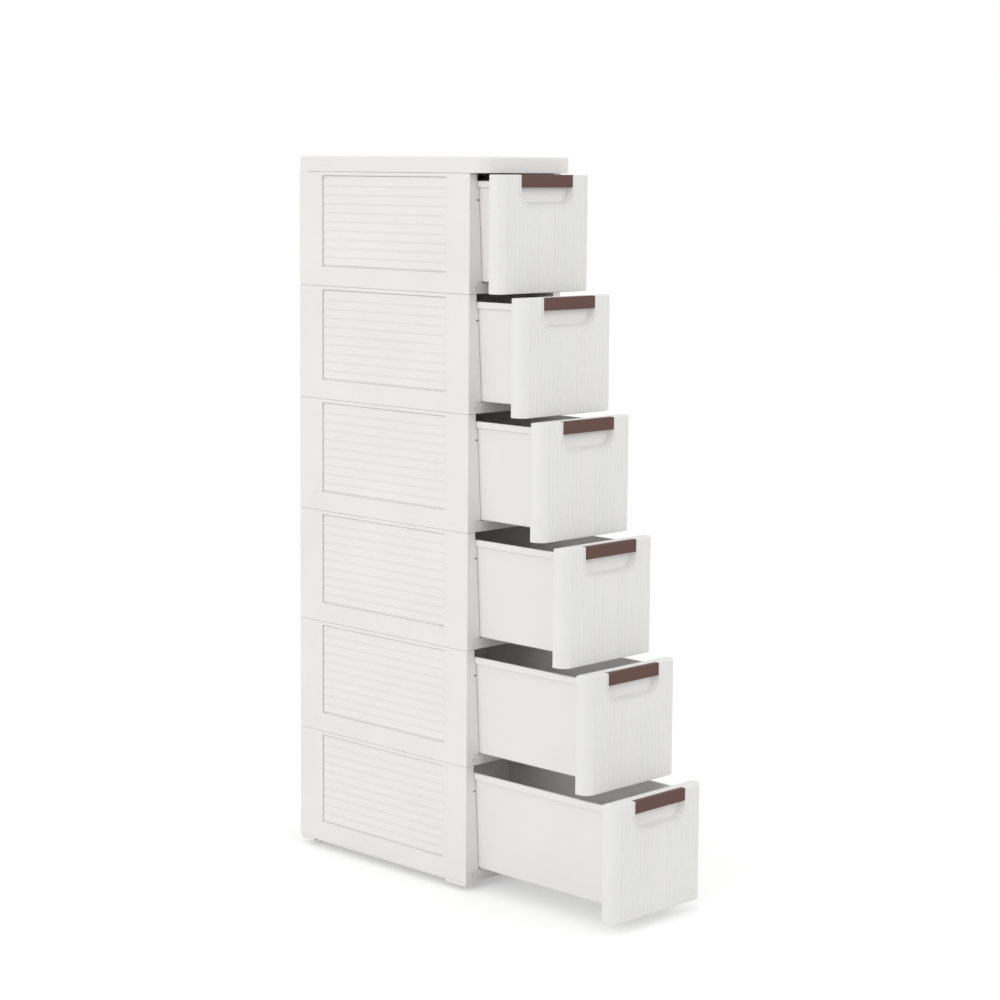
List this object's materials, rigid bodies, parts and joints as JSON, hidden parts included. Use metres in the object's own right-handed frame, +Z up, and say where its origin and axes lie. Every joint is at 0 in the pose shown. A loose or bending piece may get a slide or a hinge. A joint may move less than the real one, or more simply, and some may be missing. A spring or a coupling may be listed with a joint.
{
  "type": "plastic drawer tower",
  "caption": "Slim white plastic drawer tower on castors: stacked tiers with louvred sides, reeded drawer fronts with brown grips, and drawers that slide out.",
  "frame": {"origin": "on the floor, under the middle of the tower with its drawers pulled out as in the rest pose", "axes": "+X to the right seen from the front, +Y towards the back, +Z up; drawers slide out towards -Y"},
  "size_m": [0.211, 0.7276, 1.181],
  "materials": {
    "white_plastic": "satin white moulded polypropylene",
    "front_plastic": "satin white, reeded",
    "tub_plastic": "satin off-white",
    "brown_plastic": "satin brown",
    "grey_plastic": "satin grey",
    "wheel_plastic": "satin dark grey",
    "axle_steel": "bright zinc plated"
  },
  "bodies": {
    "cabinet": {"top_panel": "white_plastic", "side_left_1": "white_plastic", "side_left_2": "white_plastic", "side_left_3": "white_plastic", "side_left_4": "white_plastic", "side_left_5": "white_plastic", "side_left_6": "white_plastic", "side_right_1": "white_plastic", "side_right_2": "white_plastic", "side_right_3": "white_plastic", "side_right_4": "white_plastic", "side_right_5": "white_plastic", "side_right_6": "white_plastic", "back_panel_1": "white_plastic", "back_panel_2": "white_plastic", "back_panel_3": "white_plastic", "back_panel_4": "white_plastic", "back_panel_5": "white_plastic", "back_panel_6": "white_plastic", "divider_1": "white_plastic", "divider_2": "white_plastic", "divider_3": "white_plastic", "divider_4": "white_plastic", "divider_5": "white_plastic", "base_frame": "white_plastic", "corner_pegs": "grey_plastic", "castor_housings": "grey_plastic", "castor_axles": "axle_steel"},
    "drawer_1": {"drawer_tub_1": "tub_plastic", "drawer_front_1": "front_plastic", "drawer_grip_1": "brown_plastic"},
    "drawer_2": {"drawer_tub_2": "tub_plastic", "drawer_front_2": "front_plastic", "drawer_grip_2": "brown_plastic"},
    "drawer_3": {"drawer_tub_3": "tub_plastic", "drawer_front_3": "front_plastic", "drawer_grip_3": "brown_plastic"},
    "drawer_4": {"drawer_tub_4": "tub_plastic", "drawer_front_4": "front_plastic", "drawer_grip_4": "brown_plastic"},
    "drawer_5": {"drawer_tub_5": "tub_plastic", "drawer_front_5": "front_plastic", "drawer_grip_5": "brown_plastic"},
    "drawer_6": {"drawer_tub_6": "tub_plastic", "drawer_front_6": "front_plastic", "drawer_grip_6": "brown_plastic"},
    "wheel_front_left": {"wheel_front_left": "wheel_plastic"},
    "wheel_front_right": {"wheel_front_right": "wheel_plastic"},
    "wheel_rear_left": {"wheel_rear_left": "wheel_plastic"},
    "wheel_rear_right": {"wheel_rear_right": "wheel_plastic"}
  },
  "joints": [
    {"name": "drawer_1_slide", "type": "slide", "parent": "cabinet", "child": "drawer_1", "axis": [0, -1, 0], "range_m": [-0.042, 0.256]},
    {"name": "drawer_2_slide", "type": "slide", "parent": "cabinet", "child": "drawer_2", "axis": [0, -1, 0], "range_m": [-0.0925, 0.2055]},
    {"name": "drawer_3_slide", "type": "slide", "parent": "cabinet", "child": "drawer_3", "axis": [0, -1, 0], "range_m": [-0.136, 0.162]},
    {"name": "drawer_4_slide", "type": "slide", "parent": "cabinet", "child": "drawer_4", "axis": [0, -1, 0], "range_m": [-0.186, 0.112]},
    {"name": "drawer_5_slide", "type": "slide", "parent": "cabinet", "child": "drawer_5", "axis": [0, -1, 0], "range_m": [-0.2365, 0.0615]},
    {"name": "drawer_6_slide", "type": "slide", "parent": "cabinet", "child": "drawer_6", "axis": [0, -1, 0], "range_m": [-0.294, 0.004]},
    {"name": "wheel_front_left_spin", "type": "hinge", "parent": "cabinet", "child": "wheel_front_left", "pos_m": [-0.074, -0.00925, 0.013], "axis": [1, 0, 0], "continuous": true},
    {"name": "wheel_front_right_spin", "type": "hinge", "parent": "cabinet", "child": "wheel_front_right", "pos_m": [0.074, -0.00925, 0.013], "axis": [1, 0, 0], "continuous": true},
    {"name": "wheel_rear_left_spin", "type": "hinge", "parent": "cabinet", "child": "wheel_rear_left", "pos_m": [-0.074, 0.33775, 0.013], "axis": [1, 0, 0], "continuous": true},
    {"name": "wheel_rear_right_spin", "type": "hinge", "parent": "cabinet", "child": "wheel_rear_right", "pos_m": [0.074, 0.33775, 0.013], "axis": [1, 0, 0], "continuous": true}
  ]
}
